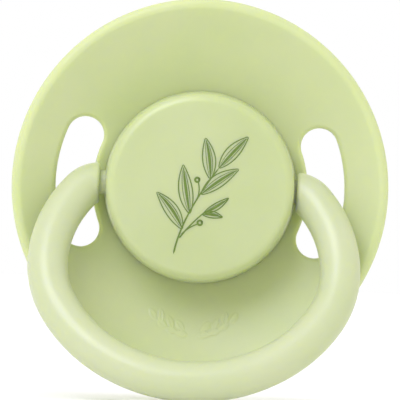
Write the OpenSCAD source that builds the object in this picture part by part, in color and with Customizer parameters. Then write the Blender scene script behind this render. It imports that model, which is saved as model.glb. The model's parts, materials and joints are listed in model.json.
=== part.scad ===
// Soother with a round dished shield, a drum-shaped knob and a swinging ring handle.
// Millimetres. The origin is the centre of the knob's flat face: +X to the right, +Z up,
// and -Y out of the knob's face, so the teat points along +Y and the handle hangs down.
// Heights along the soother's own axis are named *_h. They count from the middle of the
// shield's dished face, positive towards the knob's face.

/* [Shield] */
// Diameter of the shield
shield_d = 44; // [40:0.5:54]
// Thickness of the shield
shield_t = 2; // [1.4:0.1:2.6]
// Diameter of the round bead along the shield's rim
rim_bead_d = 2.2; // [2.1:0.1:3]
// How far the rim stands in front of the middle of the dish
dish_depth = 5.5; // [4:0.1:7]
// Width of each vent slot
slot_w = 4.3; // [3.4:0.1:5.2]
// Distance from the knob's base to the near edge of a vent slot
slot_inset = 1.35; // [1:0.05:2]
// Angle between the round ends of a vent slot
slot_angle = 43.5; // [34:0.5:54]
// Width of the flat ledge that shows round the knob's base
ledge_w = 0.5; // [0.3:0.05:0.6]
// Height of that ledge above the dish beside it
ledge_h = 0.03; // [0.02:0.01:0.1]
// Depth of the flat recess under the knob
recess_depth = 1.1; // [0.9:0.1:1.3]

/* [Knob] */
// Diameter of the knob at its base
knob_d = 22.5; // [18.5:0.1:27]
// Height of the knob from the ledge to its flat face
knob_h = 6.9; // [6.2:0.1:8.5]
// How much the knob's radius shrinks towards its face
knob_draft = 0.4; // [0.2:0.05:0.8]
// Radius of the rounded edge round the knob's face
knob_edge_r = 1; // [0.6:0.05:1.4]
// Thickness of the knob's side wall at its base
knob_wall = 1.95; // [1.5:0.05:2.4]
// Thickness of the knob's face
knob_cap_t = 1.6; // [1.2:0.1:2]

/* [Pivot] */
// Diameter of the handle's pivot pins
pin_d = 2.8; // [2.2:0.1:3.2]
// Length of a pivot pin from the handle's end face
pin_len = 2.6; // [2.2:0.1:3.2]
// Radial clearance between a pin and its socket
pin_fit = 0.05; // [0.02:0.01:0.1]
// Clearance between a pin's end and the bottom of its socket
pin_end_gap = 0.6; // [0.3:0.1:1]
// Wall round and behind a pin socket, inside the knob
socket_wall = 0.45; // [0.4:0.05:0.8]
// Thickness of the bottom of a pin socket
socket_bottom = 1; // [0.6:0.1:1.4]

/* [Ring handle] */
// Diameter of the handle's round bar
ring_bar_d = 4.7; // [3.9:0.1:5.4]
// Gap between the knob's base and each end face of the handle
ring_end_gap = 0.35; // [0.25:0.05:0.8]
// How far the middle of the bar bulges sideways past the end faces
ring_bulge = 5.4; // [4.4:0.1:7]
// Distance from the pivot down to the handle's widest place
ring_wide_at = 10.9; // [9:0.1:13]
// Distance from the widest place down to the lowest middle of the bar
ring_belly = 15; // [12.5:0.1:18]
// Bend radius of the short shoulder beside each pivot
ring_shoulder_r = 3; // [2.8:0.1:3.6]
// Bend radius of each lower corner
ring_corner_r = 12; // [10:0.1:12.4]
// Smallest gap left between the handle and the shield
ring_clear = 0.3; // [0.2:0.05:0.6]

/* [Teat] */
// Outside diameter of the teat's neck
neck_d = 11; // [9.4:0.1:12]
// Outside diameter of the teat's round bulb
bulb_d = 16.5; // [14:0.1:19]
// Length of the teat behind the shield
teat_len = 27; // [24:0.5:30]
// Thickness of the silicone
teat_wall = 1.5; // [1.2:0.1:1.8]
// Radius of the waist between neck and bulb
waist_r = 10; // [8:0.5:14]
// Thickness of the teat's clamped flange
flange_t = 1; // [0.8:0.1:1.2]
// Width of the teat's clamped flange outside its neck
flange_w = 2.1; // [1.5:0.1:2.3]

/* [Plug] */
// Thickness of the plug's plate
plug_plate_t = 1.1; // [0.9:0.1:1.2]
// Thickness of the plug's tube
plug_wall = 1.2; // [1:0.1:1.6]
// Length of the plug's tube below its plate
plug_tube_len = 8; // [6:0.5:10]
// Clearance between pieces that fit into each other and stay put
seat_fit = 0.1; // [0.05:0.05:0.2]

/* [Hidden] */
$fn = 96;

// Shield: the face and the back are spheres about one centre, and the rim's bead is centred
// halfway between them.
shield_r = shield_d / 2;
half_t = shield_t / 2;
bead_r = rim_bead_d / 2;
rim_r = shield_r - bead_r;
rim_h = dish_depth - bead_r;
dish_r = (rim_r * rim_r + rim_h * rim_h - half_t * half_t) / (2 * rim_h + shield_t);
rim_angle = asin(rim_r / (dish_r + half_t));
function dish_height(r) = dish_r - sqrt(dish_r * dish_r - r * r);

// Knob and its seat on the shield.
knob_r = knob_d / 2;
ledge_r = knob_r + ledge_w;
seat_h = dish_height(ledge_r) + ledge_h;
face_h = seat_h + knob_h;
cup_r = knob_r - knob_wall;
floor_h = seat_h - recess_depth;
cup_top_h = face_h - knob_cap_t;

// Pivot: the sockets' boss just clears the plug's plate below it.
socket_r = pin_d / 2 + pin_fit;
boss_r = socket_r + socket_wall;
plate_top_h = floor_h + flange_t + plug_plate_t;
low_pivot_h = plate_top_h + seat_fit + boss_r;
end_x = knob_r + ring_end_gap;
socket_x = end_x - pin_len - pin_end_gap;
boss_x = socket_x - socket_bottom;

// Vent slots, concentric with the knob.
slot_in_r = knob_r + slot_inset;
slot_out_r = slot_in_r + slot_w;
slot_mid_r = (slot_in_r + slot_out_r) / 2;

// Handle outline: shoulder, side, corner and bottom arcs that meet without a kink.
bar_r = ring_bar_d / 2;
half_w = end_x + ring_bulge;
shoulder_y = -ring_shoulder_r;
side_dy = ring_wide_at - ring_shoulder_r;
side_r = (ring_bulge * ring_bulge + side_dy * side_dy - ring_shoulder_r * ring_shoulder_r)
       / (2 * (ring_bulge - ring_shoulder_r));
side_x = half_w - side_r;
side_angle = atan2(side_dy, end_x - side_x);
corner_x = half_w - ring_corner_r;
bottom_r = (corner_x * corner_x + ring_belly * ring_belly - ring_corner_r * ring_corner_r)
         / (2 * (ring_belly - ring_corner_r));
bottom_y = bottom_r - ring_belly - ring_wide_at;
corner_angle = atan2(bottom_r - ring_belly, corner_x);

// Middle line of the bar from the right-hand end face to the lowest place and up again,
// each point with the direction that faces out of the handle: [x, y, angle].
function bend(x, y, r, from, to, steps) =
    [for (i = [0 : steps]) let (a = from + (to - from) * i / steps)
        [x + r * cos(a), y + r * sin(a), a]];
function without_first(list) = [for (i = [1 : len(list) - 1]) list[i]];
function flipped(list) = [for (i = [len(list) - 2 : -1 : 0])
    [-list[i].x, list[i].y, 180 - list[i].z]];
right_half = concat(
    bend(end_x, shoulder_y, ring_shoulder_r, 90, side_angle, 8),
    without_first(bend(side_x, -ring_wide_at, side_r, side_angle, 0, 5)),
    without_first(bend(corner_x, -ring_wide_at, ring_corner_r, 0, -corner_angle, 4)),
    without_first(bend(0, bottom_y, bottom_r, -corner_angle, -90, 8)));
bar_path = concat(right_half, flipped(right_half));
bar_sides = 20;

// Handle at rest: the smallest lean at which the whole bar clears the shield. Where a wide
// knob would hold the shoulders too close to the rising dish, the pivot moves up.
steep_lean = 45;
function shield_gap(r, h) =
    atan2(r, dish_r - h) < rim_angle
    ? dish_r - norm([r, dish_r - h])
    : norm([r - rim_r, h - rim_h]) - bead_r;
function bar_gap(lean, pivot) =
    min([for (p = bar_path)
        shield_gap(norm([p.x, p.y * cos(lean)]), pivot - p.y * sin(lean))]) - bar_r;
pivot_lift = max(0, ring_clear - bar_gap(steep_lean, low_pivot_h)) / cos(rim_angle);
pivot_h = low_pivot_h + pivot_lift;
rest_lean = min([for (lean = [0 : 0.25 : steep_lean])
    if (bar_gap(lean, pivot_h) >= ring_clear) lean]);

// Teat: neck, waist arc and bulb, each measured back from the shield's rear face.
neck_r = neck_d / 2;
bulb_r = bulb_d / 2;
bulb_back = teat_len - bulb_r;
waist_back = bulb_back - sqrt(pow(bulb_r + waist_r, 2) - pow(neck_r + waist_r, 2));
waist_angle = atan2(bulb_back - waist_back, neck_r + waist_r);
flange_r = neck_r + flange_w;
tube_r = neck_r - teat_wall;
plate_r = cup_r - seat_fit;
profile_steps = 12;

// Outline of the teat's rear part, w inside its outer surface, as [radius, height].
function teat_outline(w) = concat(
    [for (i = [0 : profile_steps])
        let (a = waist_angle * i / profile_steps)
        [neck_r + waist_r - (waist_r + w) * cos(a),
         -shield_t - waist_back - (waist_r + w) * sin(a)]],
    [for (i = [1 : profile_steps])
        let (a = -waist_angle + (90 + waist_angle) * i / profile_steps)
        [(bulb_r - w) * cos(a), -shield_t - bulb_back - (bulb_r - w) * sin(a)]]);

// Turns a shape whose z is a height above the dish into the object's own frame.
module on_axis() {
    rotate([90, 0, 0]) translate([0, 0, -face_h]) children();
}

// The dished plate with its rim bead and the flat pad under the knob.
module dish() {
    back_h = -shield_t - 1;
    rotate_extrude() {
        intersection() {
            difference() {
                translate([0, dish_r]) circle(r = dish_r + shield_t);
                difference() {
                    translate([0, dish_r]) circle(r = dish_r);
                    translate([0, back_h]) square([ledge_r, seat_h - back_h]);
                }
            }
            polygon([[0, dish_r],
                     [0, back_h],
                     [2 * rim_r, back_h],
                     [2 * rim_r, dish_r - 2 * rim_r / tan(rim_angle)]]);
        }
        translate([rim_r, rim_h]) circle(r = bead_r);
    }
}

// One vent slot: a curved bar with round ends, long enough to pass through the dish.
module slot_cutter() {
    low = -shield_t - 1;
    height = dish_depth + shield_t + 2;
    rotate([0, 0, -slot_angle / 2])
        rotate_extrude(angle = slot_angle)
            translate([slot_in_r, low]) square([slot_w, height]);
    for (side = [-1, 1])
        rotate([0, 0, side * slot_angle / 2])
            translate([slot_mid_r, 0, low]) cylinder(d = slot_w, h = height);
}

module shield() {
    hole_r = neck_r + seat_fit;
    color([0.82, 0.86, 0.65]) on_axis() difference() {
        rotate([0, 0, 90]) dish();
        translate([0, 0, floor_h]) cylinder(r = cup_r, h = recess_depth + 1);
        translate([0, 0, -shield_t - 1]) cylinder(r = hole_r, h = shield_t + seat_h + 2);
        for (turn = [0, 180]) rotate([0, 0, turn]) slot_cutter();
    }
}

module knob() {
    top_r = knob_r - knob_draft;
    flat_r = top_r - knob_edge_r;
    edge_h = face_h - knob_edge_r;
    color([0.82, 0.87, 0.66]) on_axis() difference() {
        union() {
            difference() {
                rotate_extrude() {
                    polygon([[0, seat_h], [knob_r, seat_h], [top_r, edge_h],
                             [flat_r, edge_h], [flat_r, face_h], [0, face_h]]);
                    translate([flat_r, edge_h]) circle(r = knob_edge_r);
                }
                translate([0, 0, seat_h - 1]) cylinder(r = cup_r, h = cup_top_h - seat_h + 1);
            }
            for (side = [-1, 1])
                translate([side * boss_x, 0, pivot_h]) rotate([0, side * 90, 0])
                    cylinder(r = boss_r, h = cup_r + knob_wall / 2 - boss_x);
        }
        for (side = [-1, 1])
            translate([side * socket_x, 0, pivot_h]) rotate([0, side * 90, 0])
                cylinder(r = socket_r, h = knob_r);
    }
}

module plug() {
    plate_low_h = floor_h + flange_t;
    tube_end_h = plate_low_h - plug_tube_len;
    skirt_r = flange_r + seat_fit;
    bore_r = tube_r - plug_wall;
    bore_end_h = tube_end_h + plug_wall;
    color([0.86, 0.88, 0.78]) on_axis() rotate_extrude()
        polygon([[0, tube_end_h], [tube_r, tube_end_h], [tube_r, plate_low_h],
                 [skirt_r, plate_low_h], [skirt_r, floor_h], [plate_r, floor_h],
                 [plate_r, plate_top_h], [bore_r, plate_top_h], [bore_r, bore_end_h],
                 [0, bore_end_h]]);
}

module teat() {
    top_h = floor_h + flange_t;
    color([0.93, 0.93, 0.88]) on_axis() rotate_extrude()
        polygon(concat(
            [[tube_r, top_h], [flange_r, top_h], [flange_r, floor_h], [neck_r, floor_h]],
            teat_outline(0),
            [for (i = [2 * profile_steps : -1 : 0]) teat_outline(teat_wall)[i]]));
}

// The handle's round bar, swept along its middle line, with a flat face at each end.
module bar() {
    count = len(bar_path);
    points = [for (p = bar_path) for (i = [0 : bar_sides - 1])
        let (a = 360 * i / bar_sides, out = bar_r * cos(a))
        [p.x + out * cos(p.z), p.y + out * sin(p.z), bar_r * sin(a)]];
    sides = [for (k = [0 : count - 2]) for (i = [0 : bar_sides - 1])
        let (j = (i + 1) % bar_sides, low = k * bar_sides, high = low + bar_sides)
        [low + i, high + i, high + j, low + j]];
    first_end = [for (i = [0 : bar_sides - 1]) i];
    last_end = [for (i = [bar_sides - 1 : -1 : 0]) (count - 1) * bar_sides + i];
    polyhedron(points, concat(sides, [first_end, last_end]));
}

module ring() {
    color([0.86, 0.9, 0.72]) on_axis()
        translate([0, 0, pivot_h]) rotate([-rest_lean, 0, 0]) {
            bar();
            for (side = [-1, 1])
                translate([side * (end_x - pin_len), 0, 0]) rotate([0, side * 90, 0])
                    cylinder(d = pin_d, h = pin_len + bar_r / 2);
        }
}

shield();
knob();
plug();
teat();
ring();
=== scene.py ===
import json

import bmesh
import bpy
import numpy as np
from bpy.props import FloatProperty, FloatVectorProperty, PointerProperty
from bpy.types import Operator, Panel, PropertyGroup
from mathutils import Matrix, Vector


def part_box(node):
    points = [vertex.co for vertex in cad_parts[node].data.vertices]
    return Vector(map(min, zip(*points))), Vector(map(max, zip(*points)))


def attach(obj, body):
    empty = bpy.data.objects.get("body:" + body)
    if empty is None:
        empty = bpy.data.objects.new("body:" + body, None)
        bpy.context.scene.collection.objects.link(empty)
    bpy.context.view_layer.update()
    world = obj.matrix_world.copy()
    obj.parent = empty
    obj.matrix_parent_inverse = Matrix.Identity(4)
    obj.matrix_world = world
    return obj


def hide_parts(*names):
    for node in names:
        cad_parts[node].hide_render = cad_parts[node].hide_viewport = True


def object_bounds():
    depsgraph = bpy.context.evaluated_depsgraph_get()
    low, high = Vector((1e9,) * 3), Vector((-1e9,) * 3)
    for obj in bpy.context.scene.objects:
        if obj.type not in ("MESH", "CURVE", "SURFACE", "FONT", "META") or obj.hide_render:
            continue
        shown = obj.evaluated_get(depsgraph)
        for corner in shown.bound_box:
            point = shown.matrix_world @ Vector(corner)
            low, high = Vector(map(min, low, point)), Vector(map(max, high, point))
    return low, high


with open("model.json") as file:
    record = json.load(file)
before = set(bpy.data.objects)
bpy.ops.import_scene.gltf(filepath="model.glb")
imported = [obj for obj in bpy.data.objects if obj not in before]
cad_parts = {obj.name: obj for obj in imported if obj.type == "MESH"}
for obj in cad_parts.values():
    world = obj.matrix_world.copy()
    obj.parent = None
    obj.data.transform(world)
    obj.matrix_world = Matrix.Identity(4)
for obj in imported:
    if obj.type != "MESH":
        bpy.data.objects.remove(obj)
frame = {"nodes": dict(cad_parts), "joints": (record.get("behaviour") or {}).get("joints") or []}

bl_info = {
    "name": "Soother with ring handle",
    "version": (1, 0, 0),
    "blender": (4, 5, 0),
    "location": "3D View > Sidebar > Soother",
    "description": "Builds a round soother with a drum knob, a swinging ring and a silicone teat",
    "category": "Add Mesh",
}

MM = 0.001
WELD = 0.00005 * MM                     # points nearer than this are one point
cad_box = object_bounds()

# Places that come from the frame: the soother's own axis runs along Y through the origin, and
# heights are measured towards the knob's face from the dish's middle.
shield_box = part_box("shield")
knob_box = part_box("knob")
ring_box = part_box("ring")
teat_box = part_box("teat")
pivot = Vector(frame["joints"][0]["pos_m"])
SHIELD_RADIUS = shield_box[1].x
KNOB_RADIUS = knob_box[1].x
KNOB_SEAT_Y = knob_box[1].y
KNOB_FACE_Y = knob_box[0].y

# Numbered sockets of a colour Mix node: its two colours and its mixed colour.
FIRST, SECOND, MIXED = 6, 7, 2
WHITE = (1.0, 1.0, 1.0, 1.0)


def length(name, description, default_mm):
    """A size in metres whose default is given in millimetres."""
    return FloatProperty(
        name=name, description=description, default=default_mm * MM, min=0.0,
        subtype="DISTANCE", unit="LENGTH", precision=5)


def turn(name, description, default_degrees):
    """An angle whose default is given in degrees."""
    return FloatProperty(
        name=name, description=description, default=np.radians(default_degrees),
        subtype="ANGLE", unit="ROTATION")


def share(name, description, default):
    """A plain number between 0 and 1."""
    return FloatProperty(name=name, description=description, default=default, min=0.0, max=1.0)


def linear(hex_colour):
    """sRGB hex colour as linear light: c / 12.92 below 0.04045, else ((c + 0.055) / 1.055) ^ 2.4."""
    c = np.array([int(hex_colour[i:i + 2], 16) for i in (1, 3, 5)]) / 255.0
    return tuple(np.where(c <= 0.04045, c / 12.92, ((c + 0.055) / 1.055) ** 2.4).tolist())


def colour(name, description, hex_colour):
    """A colour whose default is an sRGB hex value."""
    return FloatVectorProperty(
        name=name, description=description, default=linear(hex_colour), size=3,
        min=0.0, max=1.0, subtype="COLOR")


class SootherShield(PropertyGroup):
    """Sizes of the round dished shield."""
    thickness: length("Thickness", "Thickness of the dished plate", 2.0)
    rim_bead: length("Rim bead", "Diameter of the full rim bead that the dish is curved to meet", 2.2)
    rim_edge: length("Rim edge radius", "Radius of the rim's front and back edges", 0.8)
    dish_depth: length("Dish depth", "How far the rim stands in front of the dish's middle", 5.5)
    slot_width: length("Slot width", "Width of each vent slot", 4.3)
    slot_middle: length("Slot radius", "Radius of the slots' middle line about the axis", 14.75)
    slot_angle: turn("Slot angle", "Angle between the round ends of a vent slot", 43.5)
    slot_edge: length("Slot edge radius", "Radius of the softened edge round each slot", 0.5)
    recess_radius: length("Recess radius", "Radius of the flat recess under the knob", 9.3)
    recess_depth: length("Recess depth", "Depth of that recess below the knob's seat", 1.1)
    hole_radius: length("Neck hole radius", "Radius of the hole for the teat's neck", 5.6)
    relief: length("Relief height", "How far the small moulded leaves stand up", 0.09)


class SootherKnob(PropertyGroup):
    """Sizes of the drum-shaped knob."""
    draft: length("Draft", "How much the radius shrinks from base to face", 0.27)
    edge_radius: length("Edge radius", "Rounding round the flat face", 1.15)
    cup_radius: length("Cup radius", "Radius of the hollow inside", 9.3)
    cap: length("Face thickness", "Thickness of the knob's face", 1.6)
    socket_radius: length("Socket radius", "Radius of each pin socket", 1.45)
    socket_edge: length("Socket edge", "Softened edge round each socket", 0.12)
    socket_end: length("Socket end", "Distance of a socket's bottom from the axis", 8.4)
    boss_radius: length("Boss radius", "Radius of the wall round a socket, inside", 1.9)
    boss_end: length("Boss end", "Distance of the boss's end from the axis", 7.4)


class SootherRing(PropertyGroup):
    """Sizes of the swinging ring handle."""
    bar: length("Bar diameter", "Diameter of the round bar", 4.7)
    end_distance: length("End distance", "Distance of each flat end face from the axis", 11.5)
    end_edge: length("End edge radius", "Rounding round each flat end face", 0.45)
    pin: length("Pin diameter", "Diameter of the pivot pins", 2.8)
    pin_length: length("Pin length", "Length of a pivot pin", 2.6)
    bulge: length("Side bulge", "How far the bar's middle bulges past the end faces", 5.5)
    wide_at: length("Widest at", "Distance from the pivot to the widest place", 10.9)
    belly: length("Belly", "Distance from the widest place to the lowest middle of the bar", 14.93)
    slope_start: length("Slope start", "How far inside the end face the shoulder's arc starts", 0.3)
    shoulder: length("Shoulder radius", "Bend radius beside each pivot", 3.0)
    corner: length("Corner radius", "Bend radius of each lower corner", 12.0)
    play: length("Side play", "How far the ring has slid sideways on its pins", 0.22)


class SootherTeat(PropertyGroup):
    """Sizes of the silicone teat."""
    neck_radius: length("Neck radius", "Outside radius of the neck", 5.5)
    bulb_radius: length("Bulb radius", "Outside radius of the round bulb", 8.25)
    waist: length("Waist radius", "Radius of the curve between neck and bulb", 10.0)
    wall: length("Wall", "Thickness of the silicone", 1.5)
    flange_radius: length("Flange radius", "Radius of the clamped flange", 7.6)
    flange: length("Flange thickness", "Thickness of the clamped flange", 1.0)


class SootherPrint(PropertyGroup):
    """Sizes of the printed sprig."""
    line: length("Line width", "Width of the leaves' outlines", 0.15)
    vein: length("Vein width", "Width of the leaves' dark veins", 0.34)
    film: length("Ink film", "Height of the ink above the knob's face", 0.012)
    lean: turn("Lean", "Turn of the whole sprig about the knob's axis", 3.0)


class SootherColours(PropertyGroup):
    """Colours of the finishes."""
    # The knob and the shield are one plastic, and their greens differ as painted light: the shield's
    # lighter green is painted light standing in for light bounced round the dish, and the knob's darker
    # green is painted shade. The ring's paler green is partly its own moulding and partly painted
    # highlight.
    shield: colour("Shield plastic", "Pastel green of the shield", "#CCD4A4")
    shield_shift: colour("Shield shift", "The shield's green where the melt is denser", "#C8D29D")
    knob: colour("Knob plastic", "The knob's own batch of the green", "#C2CC99")
    knob_shift: colour("Knob shift", "The knob's green where the melt is denser", "#BEC992")
    ring: colour("Ring plastic", "The ring's own batch of the green", "#C7CEA7")
    ring_shift: colour("Ring shift", "The ring's green where the melt is denser", "#C3CCA0")
    plug: colour("Plug plastic", "Paler plastic of the hidden plug", "#DDE1C9")
    ink: colour("Ink", "Dark green of the printed sprig", "#5F7827")
    sky: colour("Sky light", "Slightly warm colour of the light from all round", "#FFFFF6")
    key: colour("Key light", "Slightly cool colour of the key light", "#E2E0FF")
    silicone: colour("Silicone", "Clear, slightly milky silicone", "#EFEDE4")
    floor: colour("Floor", "Plain pale floor", "#F4F4F2")


class SootherStudio(PropertyGroup):
    """Camera and light."""
    frame_width: length("Frame width", "Width of the picture at the shield", 46.67)
    frame_drop: length("Frame drop", "How far the picture's middle lies below the axis", 1.49)
    camera_distance: length("Camera distance", "Distance from the camera to the shield", 1000.0)
    roll: turn("Camera roll", "Turn of the camera about its own axis", 3.0)
    key_share: share("Key share", "Brightness of the key light on a face turned to it", 0.48)
    key_side: turn("Key direction", "Direction of the key light round the soother's axis", 120.0)
    key_slant: turn("Key slant", "Angle between the key light and the soother's axis", 50.0)
    key_width: turn("Key width", "Width of the key light as the soother sees it", 40.0)
    sky_share: share("Sky share", "Brightness of the light from all round", 0.955)
    floor_glow: share("Floor glow", "Light that the lit floor gives off by itself", 0.08)


SETTINGS = (
    ("soother_shield", SootherShield), ("soother_knob", SootherKnob),
    ("soother_ring", SootherRing), ("soother_teat", SootherTeat),
    ("soother_print", SootherPrint), ("soother_colours", SootherColours),
    ("soother_studio", SootherStudio))


# -------- surfaces

def smooth_step(t):
    """3 t^2 - 2 t^3, with t held between 0 and 1."""
    t = np.clip(t, 0.0, 1.0)
    return t * t * (3.0 - 2.0 * t)


def spans(*parts):
    """Even steps through a row of (from, to, count) parts, each join given once."""
    rows = [np.linspace(a, b, n + 1)[:-1] for a, b, n in parts]
    return np.concatenate(rows + [[parts[-1][1]]])


def on_axis(x, z, h, middle_y):
    """(x, middle_y - h, z): across the soother by x and z, and h in front of the dish's middle."""
    x, z, h = np.broadcast_arrays(x, z, h)
    return np.stack([x, middle_y - h, z], axis=-1)


def turned(profile, angles, middle_y):
    """A profile of (radius r, height h) turned about the axis: (r cos a, middle_y - h, r sin a)."""
    r, h = profile[:, :1], profile[:, 1:]
    return on_axis(r * np.cos(angles), r * np.sin(angles), h, middle_y)


def profile_of(*parts):
    """Joins lists of (radius, height) into one profile."""
    return np.concatenate([np.asarray(part, float).reshape(-1, 2) for part in parts])


def line_of(start, end, steps):
    """Even steps along a straight line: start + (end - start) t."""
    t = np.linspace(0.0, 1.0, steps + 1)[:, None]
    return np.asarray(start, float) + (np.asarray(end, float) - np.asarray(start, float)) * t


def arc_of(centre, radius, start, end, steps):
    """centre + radius (cos a, sin a), with a from start to end in degrees."""
    a = np.radians(np.linspace(start, end, steps + 1))[:, None]
    return np.asarray(centre, float) + radius * np.concatenate([np.cos(a), np.sin(a)], axis=1)


def mesh_of(name, grids):
    """One mesh from grids of points, with a quad between each four neighbours of a grid."""
    start, points, quads = 0, [], []
    for grid in grids:
        rows, columns = grid.shape[:2]
        index = start + np.arange(rows * columns).reshape(rows, columns)
        quads.append(np.stack(
            [index[:-1, :-1], index[1:, :-1], index[1:, 1:], index[:-1, 1:]], axis=-1).reshape(-1, 4))
        points.append(grid.reshape(-1, 3))
        start += rows * columns
    mesh = bpy.data.meshes.new(name)
    mesh.from_pydata(np.concatenate(points).tolist(), [], np.concatenate(quads).tolist())
    return mesh


def closed_piece(name, grids, sharp_degrees=38.0):
    """A closed piece from grids of points. Equal points are welded, so that shared edges close,
    and the faces are turned outwards."""
    mesh = mesh_of(name, grids)
    shape = bmesh.new()
    shape.from_mesh(mesh)
    bmesh.ops.remove_doubles(shape, verts=shape.verts[:], dist=WELD)
    bmesh.ops.dissolve_degenerate(shape, dist=WELD, edges=shape.edges[:])
    bmesh.ops.recalc_face_normals(shape, faces=shape.faces[:])
    open_edges = sum(not edge.is_manifold for edge in shape.edges)
    shape.to_mesh(mesh)
    shape.free()
    if open_edges:
        raise RuntimeError(f"{name} is not closed: {open_edges} loose edges")
    mesh.polygons.foreach_set("use_smooth", np.ones(len(mesh.polygons), bool))
    mesh.set_sharp_from_angle(angle=np.radians(sharp_degrees))
    piece = bpy.data.objects.new(name, mesh)
    bpy.context.scene.collection.objects.link(piece)
    return piece


def install(piece, body, node, material):
    """Gives a finished piece its material and its moving body, and hides the CAD node it stands for."""
    piece.data.materials.append(material)
    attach(piece, body)
    if node:
        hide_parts(node)


# -------- finishes

def add(tree, kind, settings, links):
    """Adds one node, sets its properties and its named or numbered sockets, and links its inputs."""
    node = tree.nodes.new(kind)
    for key, value in settings.items():
        if isinstance(key, int) or key in node.inputs:
            node.inputs[key].default_value = value
        else:
            setattr(node, key, value)
    for key, source in links.items():
        tree.links.new(source, node.inputs[key])
    return node


def blank(name):
    """An empty node material and its tree."""
    material = bpy.data.materials.get(name) or bpy.data.materials.new(name)
    material.use_nodes = True
    material.node_tree.nodes.clear()
    return material, material.node_tree


def moulded_polypropylene(name, main, shift, seed, gloss=0.75):
    """Polypropylene moulded in a finely blasted tool: a soft satin sheen, a faint change of tone
    where the coloured melt is denser, and a grain that only breaks up the edge of a highlight."""
    material, tree = blank(name)
    place = add(tree, "ShaderNodeTexCoord", {}, {}).outputs["Object"]
    place = add(tree, "ShaderNodeMapping", {"Location": (seed, 0.3 * seed, -seed)},
                {"Vector": place}).outputs["Vector"]
    # Tone drifts over about 9 mm.
    drift = add(tree, "ShaderNodeTexNoise", {"Scale": 1 / (9 * MM), "Detail": 2.0},
                {"Vector": place}).outputs["Fac"]
    drift = add(tree, "ShaderNodeMapRange", {"From Min": 0.35, "From Max": 0.7}, {"Value": drift})
    tone = add(tree, "ShaderNodeMix",
               {"data_type": "RGBA", FIRST: (*main, 1.0), SECOND: (*shift, 1.0)},
               {"Factor": drift.outputs["Result"]})
    # Blasted grain is about 0.05 mm; it is drawn at 0.25 mm, the finest that still shows.
    grain = add(tree, "ShaderNodeTexNoise",
                {"Scale": 1 / (0.25 * MM), "Detail": 3.0, "Roughness": 0.6},
                {"Vector": place}).outputs["Fac"]
    # The tool's slow waviness, about 3 mm.
    wave = add(tree, "ShaderNodeTexNoise", {"Scale": 1 / (3 * MM), "Detail": 1.0},
               {"Vector": place}).outputs["Fac"]
    relief = add(tree, "ShaderNodeBump", {"Strength": 0.35, "Distance": 0.02 * MM}, {"Height": grain})
    relief = add(tree, "ShaderNodeBump", {"Strength": 0.25, "Distance": 0.02 * MM},
                 {"Height": wave, "Normal": relief.outputs["Normal"]})
    sheen = add(tree, "ShaderNodeMapRange", {"To Min": 0.3, "To Max": 0.38}, {"Value": grain})
    # Light spreads over a millimetre or so inside the tinted plastic, the blue least of all.
    skin = add(tree, "ShaderNodeBsdfPrincipled",
               {"IOR": 1.49, "Specular IOR Level": gloss, "Subsurface Weight": 0.8,
                "Subsurface Scale": 1.3 * MM, "Subsurface Radius": (0.95, 1.0, 0.15)},
               {"Base Color": tone.outputs[MIXED], "Roughness": sheen.outputs["Result"],
                "Normal": relief.outputs["Normal"]})
    add(tree, "ShaderNodeOutputMaterial", {}, {"Surface": skin.outputs["BSDF"]})
    return material


def pad_printed_ink(name, main):
    """Pad-printed ink: a thin, slightly glossier film whose strength varies a little with the pad."""
    material, tree = blank(name)
    place = add(tree, "ShaderNodeTexCoord", {}, {}).outputs["Object"]
    # The pad leaves patches about 0.6 mm across.
    patch = add(tree, "ShaderNodeTexNoise", {"Scale": 1 / (0.6 * MM), "Detail": 2.0},
                {"Vector": place}).outputs["Fac"]
    patch = add(tree, "ShaderNodeMapRange", {"From Min": 0.3, "From Max": 0.75}, {"Value": patch})
    tone = add(tree, "ShaderNodeMix",
               {"data_type": "RGBA", FIRST: (*main, 1.0), SECOND: (*(1.22 * np.array(main)), 1.0)},
               {"Factor": patch.outputs["Result"]})
    # The film takes up the blasted grain of the plastic, drawn at 0.2 mm so that it shows.
    grain = add(tree, "ShaderNodeTexNoise", {"Scale": 1 / (0.2 * MM)}, {"Vector": place}).outputs["Fac"]
    relief = add(tree, "ShaderNodeBump", {"Strength": 0.2, "Distance": 0.01 * MM}, {"Height": grain})
    skin = add(tree, "ShaderNodeBsdfPrincipled", {"IOR": 1.5, "Roughness": 0.42},
               {"Base Color": tone.outputs[MIXED], "Normal": relief.outputs["Normal"]})
    add(tree, "ShaderNodeOutputMaterial", {}, {"Surface": skin.outputs["BSDF"]})
    return material


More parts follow.
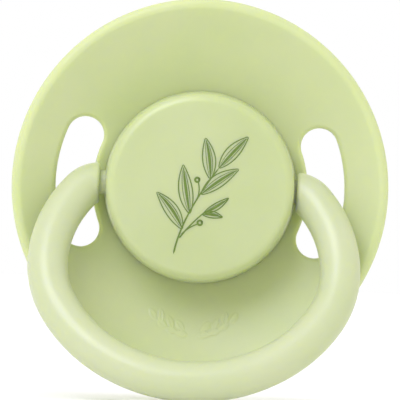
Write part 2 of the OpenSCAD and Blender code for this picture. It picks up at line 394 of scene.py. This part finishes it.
def silicone_rubber(name, main):
    """Liquid silicone moulded in a polished tool: a thin clear wall with a milky haze, so that light
    passes through and the far wall shows faintly, a soft gloss, faint flow clouds and the very
    slight unevenness of a rubber skin."""
    material, tree = blank(name)
    place = add(tree, "ShaderNodeTexCoord", {}, {}).outputs["Object"]
    # Flow clouds about 5 mm across.
    cloud = add(tree, "ShaderNodeTexNoise", {"Scale": 1 / (5 * MM), "Detail": 2.0},
                {"Vector": place}).outputs["Fac"]
    tone = add(tree, "ShaderNodeMix",
               {"data_type": "RGBA", FIRST: (*main, 1.0), SECOND: (*(0.94 * np.array(main)), 1.0)},
               {"Factor": cloud})
    # The skin's unevenness, about 0.8 mm across.
    uneven = add(tree, "ShaderNodeTexNoise", {"Scale": 1 / (0.8 * MM), "Detail": 2.0},
                 {"Vector": place}).outputs["Fac"]
    relief = add(tree, "ShaderNodeBump", {"Strength": 0.15, "Distance": 0.02 * MM}, {"Height": uneven})
    gloss = add(tree, "ShaderNodeMapRange", {"To Min": 0.16, "To Max": 0.28}, {"Value": cloud})
    haze = add(tree, "ShaderNodeMapRange", {"To Min": 0.2, "To Max": 0.34}, {"Value": cloud})
    skin = add(tree, "ShaderNodeBsdfPrincipled",
               {"IOR": 1.41, "Transmission Weight": 0.35, "Subsurface Weight": 0.8,
                "Subsurface Scale": 3 * MM, "Subsurface Radius": (1.0, 1.0, 0.95)},
               {"Base Color": tone.outputs[MIXED], "Roughness": gloss.outputs["Result"],
                "Normal": relief.outputs["Normal"]})
    clear = add(tree, "ShaderNodeBsdfTransparent", {"Color": (0.98, 0.98, 0.96, 1.0)}, {})
    wall = add(tree, "ShaderNodeMixShader", {}, {0: haze.outputs["Result"], 1: skin.outputs["BSDF"],
                                                 2: clear.outputs["BSDF"]})
    add(tree, "ShaderNodeOutputMaterial", {}, {"Surface": wall.outputs[0]})
    return material


def lit_floor(name, main, glow):
    """Matt white acrylic lit from below: hardly any gloss, a faint mottling about 2 mm across, and
    a little light of its own that takes the grey out of it."""
    material, tree = blank(name)
    place = add(tree, "ShaderNodeTexCoord", {}, {}).outputs["Object"]
    mottle = add(tree, "ShaderNodeTexNoise", {"Scale": 1 / (2 * MM), "Detail": 3.0},
                 {"Vector": place}).outputs["Fac"]
    tone = add(tree, "ShaderNodeMix",
               {"data_type": "RGBA", FIRST: (*main, 1.0), SECOND: (*(0.985 * np.array(main)), 1.0)},
               {"Factor": mottle})
    skin = add(tree, "ShaderNodeBsdfPrincipled",
               {"Roughness": 0.9, "Specular IOR Level": 0.2, "Emission Color": WHITE,
                "Emission Strength": glow}, {"Base Color": tone.outputs[MIXED]})
    add(tree, "ShaderNodeOutputMaterial", {}, {"Surface": skin.outputs["BSDF"]})
    return material


# -------- shield

class ShieldForm:
    """The dish as two spheres about one centre, whose radius puts the middle of a full rim bead
    halfway between them: R = (x^2 + h^2 - (t/2)^2) / (2 h + t), with the bead's middle at x, h."""

    def __init__(self, sizes):
        self.sizes = sizes
        self.middle_y = shield_box[0].y + sizes.dish_depth
        half, bead = sizes.thickness / 2, sizes.rim_bead / 2
        bead_x, bead_h = SHIELD_RADIUS - bead, sizes.dish_depth - bead
        self.sphere = (bead_x ** 2 + bead_h ** 2 - half ** 2) / (2 * bead_h + sizes.thickness)
        self.seat_h = self.middle_y - KNOB_SEAT_Y

    def front(self, r):
        """Height of the front sphere: R - sqrt(R^2 - r^2)."""
        return self.sphere - np.sqrt(self.sphere ** 2 - r ** 2)

    def back(self, r):
        """Height of the back sphere, thicker by the plate: R - sqrt((R + t)^2 - r^2)."""
        return self.sphere - np.sqrt((self.sphere + self.sizes.thickness) ** 2 - r ** 2)


def leaf_relief(x, z, height):
    """Height of two mirrored moulded twigs. A leaf of half width w and half length l stands up
    where w (1 - (s / l)^2) - |n| is above 0, s along it and n across, with a cut along its middle."""
    half_width, half_length, edge, cut = 0.36 * MM, 0.8 * MM, 0.12 * MM, 0.14 * MM
    aside, above, spread = 0.15 * MM, 0.95 * MM, 0.75    # from a twig's lower leaves to its upper
    steps = np.arange(4)
    lean = np.radians(np.array([8.0, 24.0, 40.0, 58.0]))
    reach = (1.35 + 1.12 * steps) * MM
    drop = np.array([-17.2, -16.85, -16.15, -15.1]) * MM
    centre_x = np.concatenate([reach, -reach, reach[:3] + aside, -reach[:3] - aside])
    centre_z = np.concatenate([drop, drop, drop[:3] + above, drop[:3] + above])
    angle = np.concatenate([lean, np.pi - lean, lean[:3] + spread, np.pi - lean[:3] - spread])
    dx, dz = x[..., None] - centre_x, z[..., None] - centre_z
    along = dx * np.cos(angle) + dz * np.sin(angle)
    across = np.abs(dz * np.cos(angle) - dx * np.sin(angle))
    inside = half_width * (1 - (along / half_length) ** 2) - across
    leaf = smooth_step(inside / edge + 0.5) * (0.45 + 0.55 * smooth_step(across / cut))
    return height * leaf.max(axis=-1)


def build_shield(sizes):
    """The dish is cut into four sectors between an inner and an outer circle: two carry a slot and
    two are plain, the lower one finely divided for the moulded leaves. The hub and the rim are
    profiles turned about the axis."""
    form = ShieldForm(sizes)
    inner, outer = 12.05 * MM, 19.3 * MM                 # circles that bound the sectors
    side = np.radians(38.0)                              # half the turn of a slot's sector
    leaves_from, leaves_to = np.radians((248, 292))      # the finely divided part, with the leaves
    radii = np.linspace(inner, outer, 60)
    slot_turns = np.linspace(-side, side, 97)
    upper_turns = np.linspace(side, np.pi - side, 61)
    lower_turns = spans((np.pi + side, leaves_from, 12), (leaves_from, leaves_to, 150),
                        (leaves_to, 2 * np.pi - side, 12))
    whole_turns = np.concatenate([slot_turns[:-1], upper_turns[:-1], np.pi + slot_turns[:-1],
                                  lower_turns])
    grids = []

    # Plain sectors: (r cos a, r sin a) with the front and back heights. The leaves fade out over
    # the last millimetre inside both circles.
    for turns in (upper_turns, lower_turns):
        x, z = radii[:, None] * np.cos(turns), radii[:, None] * np.sin(turns)
        edge = smooth_step((radii[:, None] - inner) / MM) * smooth_step((outer - radii[:, None]) / MM)
        relief = leaf_relief(x, z, sizes.relief) * edge
        grids.append(on_axis(x, z, form.front(radii)[:, None] + relief, form.middle_y))
        grids.append(on_axis(x, z, form.back(radii)[:, None] + 0 * x, form.middle_y))

    # Slot sectors, the second being the first after half a turn. Rows run from the sector's border
    # to the slot's outline, over the softened edge, down the wall and out again at the back. A
    # border point p looks at the nearest point c of the slot's middle line, and the outline lies
    # on the line from c to p.
    across, along = len(slot_turns) - 1, len(radii)
    border_r = np.concatenate([np.full(across, outer), radii[:0:-1], np.full(across, inner), radii])
    border_a = np.concatenate([slot_turns[:-1], np.full(along - 1, side), slot_turns[:0:-1],
                               np.full(along, -side)])
    border = np.stack([border_r * np.cos(border_a), border_r * np.sin(border_a)], axis=-1)
    line_a = np.clip(border_a, -sizes.slot_angle / 2, sizes.slot_angle / 2)
    line = sizes.slot_middle * np.stack([np.cos(line_a), np.sin(line_a)], axis=-1)
    away = border - line
    away /= np.linalg.norm(away, axis=-1, keepdims=True)
    half_slot, soft = sizes.slot_width / 2, sizes.slot_edge
    inwards = np.linspace(0, 1, 12)
    bend = np.radians(np.linspace(0, 90, 8))[1:]
    rows, heights = [], []
    for surface, order in ((form.front, 1), (form.back, -1)):
        plan = [border + (line + away * (half_slot + soft) - border) * t for t in inwards]
        plan += [line + away * (half_slot + soft * (1 - np.sin(a))) for a in bend]
        plan = np.stack(plan)
        fall = np.concatenate([0 * inwards, soft * (1 - np.cos(bend))])[:, None]
        h = surface(np.linalg.norm(plan, axis=-1)) - order * fall
        rows.append(plan[::order])
        heights.append(h[::order])
    plan, h = np.concatenate(rows), np.concatenate(heights)
    for way in (1, -1):
        grids.append(on_axis(way * plan[..., 0], way * plan[..., 1], h, form.middle_y))

    # Hub: dish, seat just inside the knob's wall, recess for the plug, neck hole, back. Small
    # chamfers break the edges of the recess and the hole.
    chamfer = 0.1 * MM
    seat_end = KNOB_RADIUS - chamfer
    recess, floor_h = sizes.recess_radius, form.seat_h - sizes.recess_depth
    hole, soft = sizes.hole_radius, 0.3 * MM
    front_r = np.linspace(inner, seat_end, 4)
    back_r = np.linspace(hole + soft, inner, 24)
    hub = profile_of(
        np.stack([front_r, form.front(front_r)], axis=-1),
        line_of((seat_end - chamfer / 2, form.seat_h), (recess + chamfer, form.seat_h), 8),
        [[recess, form.seat_h - chamfer], [recess, floor_h]],
        line_of((recess - chamfer, floor_h), (hole + chamfer, floor_h), 4),
        [[hole, floor_h - chamfer], [hole, form.back(hole) + soft]],
        arc_of((hole + soft, form.back(hole + soft) + soft), soft, 195, 255, 4),
        np.stack([back_r, form.back(back_r)], axis=-1))
    grids.append(turned(hub, whole_turns, form.middle_y))

    # Rim: both spheres run on to a rounded edge each, with a short wall between. An edge circle's
    # centre lies a known way from the spheres' centre, which gives its height.
    edge_x = SHIELD_RADIUS - sizes.rim_edge
    front_reach = form.sphere + sizes.rim_edge
    back_reach = form.sphere + sizes.thickness - sizes.rim_edge
    front_a, back_a = np.arcsin(edge_x / front_reach), np.arcsin(edge_x / back_reach)
    front_r = np.linspace(outer, form.sphere * np.sin(front_a), 12)
    back_r = np.linspace(outer, (form.sphere + sizes.thickness) * np.sin(back_a), 12)
    rim = profile_of(
        np.stack([front_r, form.front(front_r)], axis=-1),
        arc_of((edge_x, form.sphere - front_reach * np.cos(front_a)), sizes.rim_edge,
               90 + np.degrees(front_a), 0, 14)[1:],
        arc_of((edge_x, form.sphere - back_reach * np.cos(back_a)), sizes.rim_edge,
               0, np.degrees(back_a) - 90, 12)[:-1],
        np.stack([back_r, form.back(back_r)], axis=-1)[::-1])
    grids.append(turned(rim, whole_turns, form.middle_y))
    return closed_piece("shield_shell", grids)


# -------- knob

def build_knob(sizes, shield_sizes):
    """A drafted drum with a rounded edge, hollow inside: profiles turned about the axis. On each
    side the outer wall has a round socket, and the inner wall the boss behind it."""
    form = ShieldForm(shield_sizes)
    middle_y, seat = form.middle_y, form.seat_h
    face, pivot_h = middle_y - KNOB_FACE_Y, middle_y - pivot.y
    edge_h = face - sizes.edge_radius
    # A socket's opening lies in a window of the wall, so far up and down and so far to each side.
    window, side = 2.15 * MM, np.radians(16.0)
    low, high = pivot_h - window, pivot_h + window
    near = np.linspace(-side, side, 33)
    far = np.linspace(side, np.pi - side, 121)
    whole = np.concatenate([near[:-1], far[:-1], np.pi + near[:-1], np.pi + far])
    levels = np.linspace(low, high, 25)
    chamfer = 0.1 * MM

    def outer_radius(h):
        """Drafted wall: R - draft (h - seat) / (edge - seat)."""
        return KNOB_RADIUS - sizes.draft * (h - seat) / (edge_h - seat)

    def inner_radius(h):
        """Straight inner wall."""
        return sizes.cup_radius + 0 * h

    def side_opening(wall, opening, soft, end_x, way):
        """Rows from the window's border to a circle about the pivot, over its softened edge, along
        X to end_x and in to the middle. With z = R sin a, a point of the wall is at
        x = sqrt(R(h)^2 - z^2)."""
        across, up = len(near) - 1, len(levels) - 1
        border_a = np.concatenate([near[:-1], np.full(up, side), near[:0:-1], np.full(up + 1, -side)])
        border_h = np.concatenate([np.full(across, high), levels[:0:-1], np.full(across, low), levels])
        border = np.stack([wall(border_h) * np.sin(border_a), border_h - pivot_h], axis=-1)
        away = border / np.linalg.norm(border, axis=-1, keepdims=True)
        rows, depth = [], []
        for t in np.linspace(0, 1, 9):
            rows.append(border + (away * (opening + soft) - border) * t)
            depth.append(np.zeros(len(border)))
        for a in np.radians((22.5, 45, 67.5, 90)):
            rows.append(away * (opening + soft * (1 - np.sin(a))))
            depth.append(np.full(len(border), soft * (1 - np.cos(a))))
        rows, depth = np.stack(rows), np.stack(depth)
        r = wall(rows[..., 1] + pivot_h)
        x = np.sqrt(r ** 2 - rows[..., 0] ** 2) - depth
        tube = x[-1] + (end_x - x[-1]) * np.linspace(0.25, 1, 4)[:, None]
        disc = away * opening * np.array([0.6, 0.3, 0.0])[:, None, None]
        rows = np.concatenate([rows, np.broadcast_to(rows[-1], (4, *rows[-1].shape)), disc])
        x = np.concatenate([x, tube, np.full((3, len(border)), end_x)])
        return on_axis(way * x, way * rows[..., 0], rows[..., 1] + pivot_h, middle_y)

    outer_low = np.linspace(seat + chamfer, low, 4)
    outer_high = np.linspace(high, edge_h, 6)
    lower = profile_of(
        [[sizes.cup_radius, low], [sizes.cup_radius, seat + chamfer]],
        line_of((sizes.cup_radius + chamfer, seat), (KNOB_RADIUS - chamfer, seat), 4),
        np.stack([outer_radius(outer_low), outer_low], axis=-1))
    top_r = outer_radius(edge_h)
    upper = profile_of(
        np.stack([outer_radius(outer_high), outer_high], axis=-1)[:-1],
        arc_of((top_r - sizes.edge_radius, edge_h), sizes.edge_radius, 0, 90, 16),
        line_of((top_r - sizes.edge_radius, face), (0, face), 16)[1:])
    cup = profile_of(
        [[sizes.cup_radius, high]],
        arc_of((sizes.cup_radius - chamfer, face - sizes.cap - chamfer), chamfer, 0, 90, 2),
        line_of((sizes.cup_radius - 3 * chamfer, face - sizes.cap), (0, face - sizes.cap), 8))
    grids = [turned(part, whole, middle_y) for part in (lower, upper, cup)]
    for wall in (outer_radius, inner_radius):
        band = np.stack([wall(levels), levels], axis=-1)
        grids += [turned(band, far, middle_y), turned(band, np.pi + far, middle_y)]
    for way in (1, -1):
        grids.append(side_opening(outer_radius, sizes.socket_radius, sizes.socket_edge,
                                  sizes.socket_end, way))
        grids.append(side_opening(inner_radius, sizes.boss_radius, sizes.socket_edge,
                                  sizes.boss_end, way))
    return closed_piece("knob_drum", grids)


# -------- ring

def build_ring(sizes):
    """A round section of changing radius carried along the ring's middle line: pin, flat end face,
    shoulder, side, lower corner and bottom arcs, and the same mirrored. A section point at angle b
    is p + rho (cos b n + sin b k), n the line's outward direction and k across the ring's plane.
    The arcs' middles and angles follow from the widths and heights that they have to reach."""
    bar, pin = sizes.bar / 2, sizes.pin / 2
    end, shoulder, corner = sizes.end_distance, sizes.shoulder, sizes.corner
    half_width = end + sizes.bulge
    arc_x, side_drop = end - sizes.slope_start, sizes.wide_at - shoulder
    bulge = half_width - arc_x
    side = (bulge ** 2 + side_drop ** 2 - shoulder ** 2) / (2 * (bulge - shoulder))
    side_x = half_width - side
    side_angle = np.degrees(np.arctan2(side_drop, arc_x - side_x))
    start = np.degrees(np.arccos(sizes.slope_start / shoulder))
    corner_x = half_width - corner
    bottom = (corner_x ** 2 + sizes.belly ** 2 - corner ** 2) / (2 * (sizes.belly - corner))
    bottom_y = bottom - sizes.belly - sizes.wide_at
    corner_angle = np.degrees(np.arctan2(bottom - sizes.belly, corner_x))

    # Pin and end face run straight along X: the pin's flat tip with its rounded edge, its side, a
    # small fillet at its foot, and the end face. Then come the arcs.
    soft, tip, foot = sizes.end_edge, 0.2 * MM, 0.1 * MM
    tip_x, tip_turn = end - sizes.pin_length, np.radians((30, 60, 90))
    pin_x = np.concatenate([[tip_x, tip_x, tip_x], tip_x + tip * (1 - np.cos(tip_turn)),
                            np.linspace(tip_x + 2 * tip, end - foot, 6),
                            [end - 0.5 * foot, end, end, end]])
    pin_r = np.concatenate([[0, 0.5 * pin, pin - tip], pin - tip + tip * np.sin(tip_turn),
                            np.full(6, pin),
                            [pin + 0.3 * foot, pin + foot, 0.5 * (pin + bar), bar - soft]])
    # The end face's edge is rounded over the arc's first degrees, its lead.
    lead = np.degrees(soft / shoulder)
    lead_steps = np.radians(np.linspace(0, 90, 9))[1:]
    lead_angles = start - lead * (1 - np.cos(lead_steps))
    arcs = ((arc_x, -shoulder, shoulder, np.linspace(start - lead, side_angle, 26)[1:]),
            (side_x, -sizes.wide_at, side, np.linspace(side_angle, 0, 31)[1:]),
            (corner_x, -sizes.wide_at, corner, np.linspace(0, -corner_angle, 19)[1:]),
            (0.0, bottom_y, bottom, np.linspace(-corner_angle, -90, 41)[1:]))
    x, y, a = [pin_x], [np.zeros(len(pin_x))], [np.full(len(pin_x), 90.0)]
    x.append(arc_x + shoulder * np.cos(np.radians(lead_angles)))
    y.append(-shoulder + shoulder * np.sin(np.radians(lead_angles)))
    a.append(lead_angles)
    for cx, cy, radius, angles in arcs:
        x.append(cx + radius * np.cos(np.radians(angles)))
        y.append(cy + radius * np.sin(np.radians(angles)))
        a.append(angles)
    x, y, a = np.concatenate(x), np.concatenate(y), np.concatenate(a)
    # The sections turn from the flat end face's direction to the arc's over the first degrees.
    blend = 22.0
    a = np.radians(90 + (a - 90) * smooth_step((start - a) / blend))
    edge_r = bar - soft + soft * np.sin(lead_steps)
    rho = np.concatenate([pin_r, edge_r, np.full(len(x) - len(pin_r) - len(edge_r), bar)])
    # The other half mirrors all this at the lowest point.
    x, y = np.concatenate([x, -x[-2::-1]]), np.concatenate([y, y[-2::-1]])
    a, rho = np.concatenate([a, np.pi - a[-2::-1]]), np.concatenate([rho, rho[-2::-1]])

    b = np.linspace(0, 2 * np.pi, 65)
    out = rho[:, None] * np.cos(b)
    points = np.stack([x[:, None] + out * np.cos(a)[:, None],
                       y[:, None] + out * np.sin(a)[:, None],
                       rho[:, None] * np.sin(b)], axis=-1)
    # The ring hangs from its pins and leans forwards, as the frame's ring does, to clear the rim.
    lean = np.arctan2(pivot.y - ring_box[0].y - bar, -ring_box[0].z - bar)
    down, up_z = points[..., 1], points[..., 2]
    placed = np.stack([points[..., 0] - sizes.play,
                       pivot.y + down * np.sin(lean) - up_z * np.cos(lean),
                       pivot.z + down * np.cos(lean) + up_z * np.sin(lean)], axis=-1)
    return closed_piece("ring_handle", [placed])


# -------- teat

def build_teat(sizes, shield_sizes):
    """A hollow profile turned about the axis: flange, neck, waist arc and bulb outside, and the
    same curves one wall further in."""
    form = ShieldForm(shield_sizes)
    floor_h = form.seat_h - shield_sizes.recess_depth
    top_h = floor_h + sizes.flange
    tip_h = form.middle_y - teat_box[1].y
    bulb_h = tip_h + sizes.bulb_radius
    neck, bulb, waist = sizes.neck_radius, sizes.bulb_radius, sizes.waist
    waist_h = bulb_h + np.sqrt((bulb + waist) ** 2 - (neck + waist) ** 2)
    meet = np.degrees(np.arctan2(waist_h - bulb_h, neck + waist))
    gap, soft, straight = 0.03 * MM, 0.25 * MM, 0.5 * MM     # play, edge radius, ends of the neck

    def outline(w, steps):
        """Waist arc then bulb arc, w inside the outer surface."""
        return profile_of(arc_of((neck + waist, waist_h), waist + w, 180, 180 + meet, steps),
                          arc_of((0, bulb_h), bulb - w, meet, -90, 2 * steps)[1:])

    wall = sizes.wall - gap
    outside = outline(0.0, 20)
    inside = outline(wall, 20)
    inside[-1, 0] = outside[-1, 0] = 0.0
    profile = profile_of(
        inside[::-1], line_of((neck - wall, waist_h + straight), (neck - wall, top_h - soft), 10),
        arc_of((neck - wall + soft, top_h - soft - gap), soft, 180, 90, 3),
        arc_of((sizes.flange_radius - soft, top_h - soft - gap), soft, 90, 0, 3),
        arc_of((sizes.flange_radius - soft, floor_h + soft + gap), soft, 0, -90, 3),
        arc_of((neck + soft, floor_h + gap - soft), soft, 90, 180, 3),
        line_of((neck, floor_h - straight), (neck, waist_h + straight), 14), outside)
    return closed_piece("teat_silicone_body", [turned(profile, np.linspace(0, 2 * np.pi, 129),
                                                      form.middle_y)])


# -------- print

def stroke(points, width, film, face_y):
    """A flat ink line: at each point of the path a low trapezium, width across, from one film
    below the face to one film above it, with pointed ends."""
    ahead = np.gradient(points, axis=0)
    ahead /= np.linalg.norm(ahead, axis=-1, keepdims=True)
    across = np.stack([-ahead[:, 1], ahead[:, 0]], axis=-1)
    rise = np.ones(len(points))
    rise[[0, -1]] = 0.0
    half = 0.5 * width * rise
    section = np.array([[-1.0, -1.0], [-0.9, 1.0], [0.9, 1.0], [1.0, -1.0], [-1.0, -1.0]])
    plan = points[:, None] + across[:, None] * (half[:, None] * section[:, 0])[..., None]
    y = face_y - film * rise[:, None] * section[:, 1]
    return np.stack([plan[..., 0], np.broadcast_to(y, plan.shape[:2]), plan[..., 1]], axis=-1)


def curve_of(a, b, c, steps=24):
    """Quadratic curve a (1 - t)^2 + 2 b t (1 - t) + c t^2."""
    t = np.linspace(0, 1, steps + 1)[:, None]
    return (1 - t) ** 2 * np.asarray(a) + 2 * t * (1 - t) * np.asarray(b) + t ** 2 * np.asarray(c)


def leaf_strokes(base, tip, half_width, bow, line, vein, inner_lines):
    """A leaf between base and tip: its middle line bows sideways by bow, and the outlines stand
    off it by half_width sin(pi t^0.9)^0.85. A dark vein swells beside the middle line, and finer
    lines run inside at set shares of the outline's distance."""
    base, tip = np.asarray(base), np.asarray(tip)
    across = np.array([-(tip - base)[1], (tip - base)[0]]) / np.linalg.norm(tip - base)
    t = np.linspace(0, 1, 41)
    rib = curve_of(base, (base + tip) / 2 + 2 * bow * across, tip, 40)
    stand = half_width * np.sin(np.pi * t ** 0.9) ** 0.85
    lines = []
    for side_share, first, last, width, taper in (
            (1.0, 0.0, 1.0, line, 0.2), (-1.0, 0.0, 1.0, line, 0.2), (-0.08, 0.0, 0.97, vein, 0.7),
            *inner_lines):
        keep = (t >= first) & (t <= last)
        path = (rib + side_share * stand[:, None] * across)[keep]
        swell = np.sin(np.pi * np.linspace(0, 1, len(path)))
        lines.append((path, width * (1 - taper + taper * swell)))
    return lines


def berry_strokes(stalk, centre, radius, line):
    """A stalk that ends in a small curl: centre + radius (1 - a / 60) (cos a, sin a)."""
    a = np.linspace(0, 2.3 * np.pi, 30)
    curl = np.stack([np.cos(a), np.sin(a)], axis=-1) * (radius * (1 - a / 60))[:, None]
    return [(stalk, line * np.ones(len(stalk))),
            (np.asarray(centre) + curl, 1.7 * line * np.ones(len(curl)))]


def build_print(sizes):
    """A printed twig: one bowed stem with five leaves, a side twig with two small leaves, and two
    berries, all as raised ink lines on the knob's face. Places are in millimetres from its middle,
    and each line is a hair higher than the one before, so that no two tops lie in one plane."""
    line, vein = sizes.line, sizes.vein
    stem = curve_of((-3.1, -7.8), (-2.2, -3.3), (2.35, 2.4)) * MM
    twig = curve_of((-2.45, -5.95), (-1.1, -4.2), (0.75, -2.75)) * MM
    strokes = [(stem, np.linspace(1.5, 1.05, len(stem)) * line),
               (twig, np.linspace(1.3, 1.0, len(twig)) * line)]
    fine = ((0.42, 0.06, 0.92, 0.6 * line, 0.5), (-0.5, 0.1, 0.88, 0.7 * line, 0.5))
    single = ((0.4, 0.1, 0.8, 0.6 * line, 0.5),)
    for base, tip, half_width, bow, inner_lines in (
            ((2.2, 2.2), (5.65, 5.85), 0.74, 0.12, fine),
            ((1.2, 0.95), (0.65, 5.75), 0.75, -0.12, fine),
            ((0.1, -0.85), (4.55, 2.1), 0.74, 0.2, fine),
            ((-1.2, -3.1), (-1.95, 2.65), 0.8, 0.12, fine),
            ((-2.05, -4.9), (-5.05, -0.55), 0.76, -0.25, fine),
            ((0.45, -3.0), (3.35, -1.25), 0.38, -0.12, single),
            ((0.25, -3.15), (2.65, -3.5), 0.38, 0.12, single)):
        strokes += leaf_strokes(np.array(base) * MM, np.array(tip) * MM, half_width * MM, bow * MM,
                                line, vein if inner_lines is fine else 0.75 * vein, inner_lines)
    strokes += berry_strokes(curve_of((-0.45, -1.5), (0.1, -0.6), (-0.2, 0.6)) * MM,
                             (-0.32 * MM, 0.85 * MM), 0.26 * MM, line)
    strokes += berry_strokes(curve_of((-2.2, -5.5), (-1.3, -4.6), (-0.3, -4.3)) * MM,
                             (-0.02 * MM, -4.15 * MM), 0.28 * MM, line)
    c, s = np.cos(sizes.lean), np.sin(sizes.lean)
    spin = np.array([[c, s], [-s, c]])
    grids = [stroke(path @ spin, width, sizes.film * (1 + 0.02 * i), KNOB_FACE_Y)
             for i, (path, width) in enumerate(strokes)]
    return closed_piece("sprig_print", grids)


# -------- operators

class SOOTHER_OT_shield(Operator):
    """Builds the dished shield with its two vent slots"""
    bl_idname = "soother.shield"
    bl_label = "Shield"

    def execute(self, context):
        scene = context.scene
        finish = moulded_polypropylene("moulded_polypropylene_shield", scene.soother_colours.shield,
                                       scene.soother_colours.shield_shift, 0.11, 0.3)
        install(build_shield(scene.soother_shield), "soother", "shield", finish)
        return {"FINISHED"}


class SOOTHER_OT_knob(Operator):
    """Builds the drum-shaped knob with its pin sockets"""
    bl_idname = "soother.knob"
    bl_label = "Knob"

    def execute(self, context):
        scene = context.scene
        finish = moulded_polypropylene("moulded_polypropylene_knob", scene.soother_colours.knob,
                                       scene.soother_colours.knob_shift, 0.37)
        install(build_knob(scene.soother_knob, scene.soother_shield), "soother", "knob",
                finish)
        return {"FINISHED"}


class SOOTHER_OT_ring(Operator):
    """Builds the ring handle with its two pivot pins"""
    bl_idname = "soother.ring"
    bl_label = "Ring handle"

    def execute(self, context):
        scene = context.scene
        finish = moulded_polypropylene("moulded_polypropylene_ring", scene.soother_colours.ring,
                                       scene.soother_colours.ring_shift, 0.73)
        install(build_ring(scene.soother_ring), "handle", "ring", finish)
        return {"FINISHED"}


class SOOTHER_OT_teat(Operator):
    """Builds the hollow silicone teat"""
    bl_idname = "soother.teat"
    bl_label = "Teat"

    def execute(self, context):
        scene = context.scene
        finish = silicone_rubber("silicone_rubber_teat", scene.soother_colours.silicone)
        install(build_teat(scene.soother_teat, scene.soother_shield), "soother", "teat",
                finish)
        return {"FINISHED"}


class SOOTHER_OT_print(Operator):
    """Draws the leafy sprig on the knob's face"""
    bl_idname = "soother.print"
    bl_label = "Printed sprig"

    def execute(self, context):
        scene = context.scene
        finish = pad_printed_ink("pad_printed_ink", scene.soother_colours.ink)
        install(build_print(scene.soother_print), "soother", None, finish)
        return {"FINISHED"}


class SOOTHER_OT_plug(Operator):
    """Gives the hidden plug its moulded finish"""
    bl_idname = "soother.plug"
    bl_label = "Plug"

    def execute(self, context):
        colours = context.scene.soother_colours
        finish = moulded_polypropylene("moulded_polypropylene_plug", colours.plug, colours.plug, 0.53)
        plug = frame["nodes"]["plug"]
        plug.data.materials.clear()
        plug.data.materials.append(finish)
        return {"FINISHED"}


class SOOTHER_OT_stage(Operator):
    """Adds the floor, the soft light and the camera"""
    bl_idname = "soother.stage"
    bl_label = "Stage"

    def execute(self, context):
        scene, studio = context.scene, context.scene.soother_studio
        # A round floor just below the ring: (r cos a, r sin a, level).
        level = cad_box[0].z - 0.3 * MM
        a = np.linspace(0, 2 * np.pi, 97)
        r = np.array([0.0, 0.1, 0.4, 1.4])[:, None]
        disc = np.stack([r * np.cos(a), r * np.sin(a), np.full((len(r), len(a)), level)], axis=-1)
        ground = bpy.data.objects.new("floor", mesh_of("floor", [disc]))
        ground.data.materials.append(
            lit_floor("matt_acrylic_floor", scene.soother_colours.floor, studio.floor_glow))
        scene.collection.objects.link(ground)

        # The surround lights the soother softly and is itself seen as plain white.
        world = bpy.data.worlds.new("studio_surround")
        scene.world = world
        world.use_nodes = True
        tree = world.node_tree
        tree.nodes.clear()
        soft = add(tree, "ShaderNodeBackground",
                   {"Color": (*scene.soother_colours.sky, 1.0), "Strength": studio.sky_share}, {})
        seen = add(tree, "ShaderNodeBackground", {"Color": WHITE, "Strength": 1.0}, {})
        path = add(tree, "ShaderNodeLightPath", {}, {})
        both = add(tree, "ShaderNodeMixShader", {}, {0: path.outputs["Is Camera Ray"],
                                                     1: soft.outputs[0], 2: seen.outputs[0]})
        add(tree, "ShaderNodeOutputWorld", {}, {"Surface": both.outputs[0]})

        # One large soft box in front of the soother, above it and to its left.
        toward = Vector((np.sin(studio.key_slant) * np.cos(studio.key_side),
                         -np.cos(studio.key_slant),
                         np.sin(studio.key_slant) * np.sin(studio.key_side)))
        lamp = bpy.data.lights.new("soft_box", "SUN")
        lamp.energy = np.pi * studio.key_share
        lamp.color = scene.soother_colours.key
        lamp.angle = studio.key_width
        key = bpy.data.objects.new("soft_box", lamp)
        key.rotation_euler = toward.to_track_quat("Z", "Y").to_euler()
        scene.collection.objects.link(key)

        # A long lens square on to the soother, rolled a little about its own axis.
        lens = bpy.data.cameras.new("camera")
        lens.sensor_width = 36.0
        lens.lens = lens.sensor_width * studio.camera_distance / studio.frame_width
        lens.clip_start, lens.clip_end = 0.05, 50.0
        camera = bpy.data.objects.new("camera", lens)
        roll = Matrix.Rotation(-studio.roll, 4, "Y")
        aim = roll @ Vector((0.0, 0.0, -studio.frame_drop))
        stand = Matrix.Translation(aim + Vector((0.0, shield_box[0].y - studio.camera_distance, 0.0)))
        camera.matrix_world = stand @ roll @ Matrix.Rotation(np.pi / 2, 4, "X")
        scene.collection.objects.link(camera)
        scene.camera = camera
        scene.view_settings.view_transform = "Standard"
        return {"FINISHED"}


class SOOTHER_PT_sidebar(Panel):
    """Lists every part of the soother and its sizes"""
    bl_label = "Soother"
    bl_idname = "SOOTHER_PT_sidebar"
    bl_space_type = "VIEW_3D"
    bl_region_type = "UI"
    bl_category = "Soother"

    def draw(self, context):
        for operator in OPERATORS:
            self.layout.operator(operator.bl_idname)
        for name, group in SETTINGS:
            box = self.layout.box()
            box.label(text=group.__doc__)
            for key in group.__annotations__:
                box.prop(getattr(context.scene, name), key)


OPERATORS = (SOOTHER_OT_shield, SOOTHER_OT_knob, SOOTHER_OT_print, SOOTHER_OT_ring, SOOTHER_OT_teat,
             SOOTHER_OT_plug, SOOTHER_OT_stage)
CLASSES = tuple(group for _, group in SETTINGS) + OPERATORS + (SOOTHER_PT_sidebar,)


def register():
    """Registers the classes and hangs the settings on the scene."""
    for cls in CLASSES:
        bpy.utils.register_class(cls)
    for name, group in SETTINGS:
        setattr(bpy.types.Scene, name, PointerProperty(type=group))


def unregister():
    """Takes the settings and the classes away again."""
    for name, _ in SETTINGS:
        delattr(bpy.types.Scene, name)
    for cls in reversed(CLASSES):
        bpy.utils.unregister_class(cls)


def main():
    """Registers and builds every part in order."""
    register()
    for operator in OPERATORS:
        group, name = operator.bl_idname.split(".")
        getattr(getattr(bpy.ops, group), name)()
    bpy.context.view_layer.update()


if __name__ == "__main__":
    main()
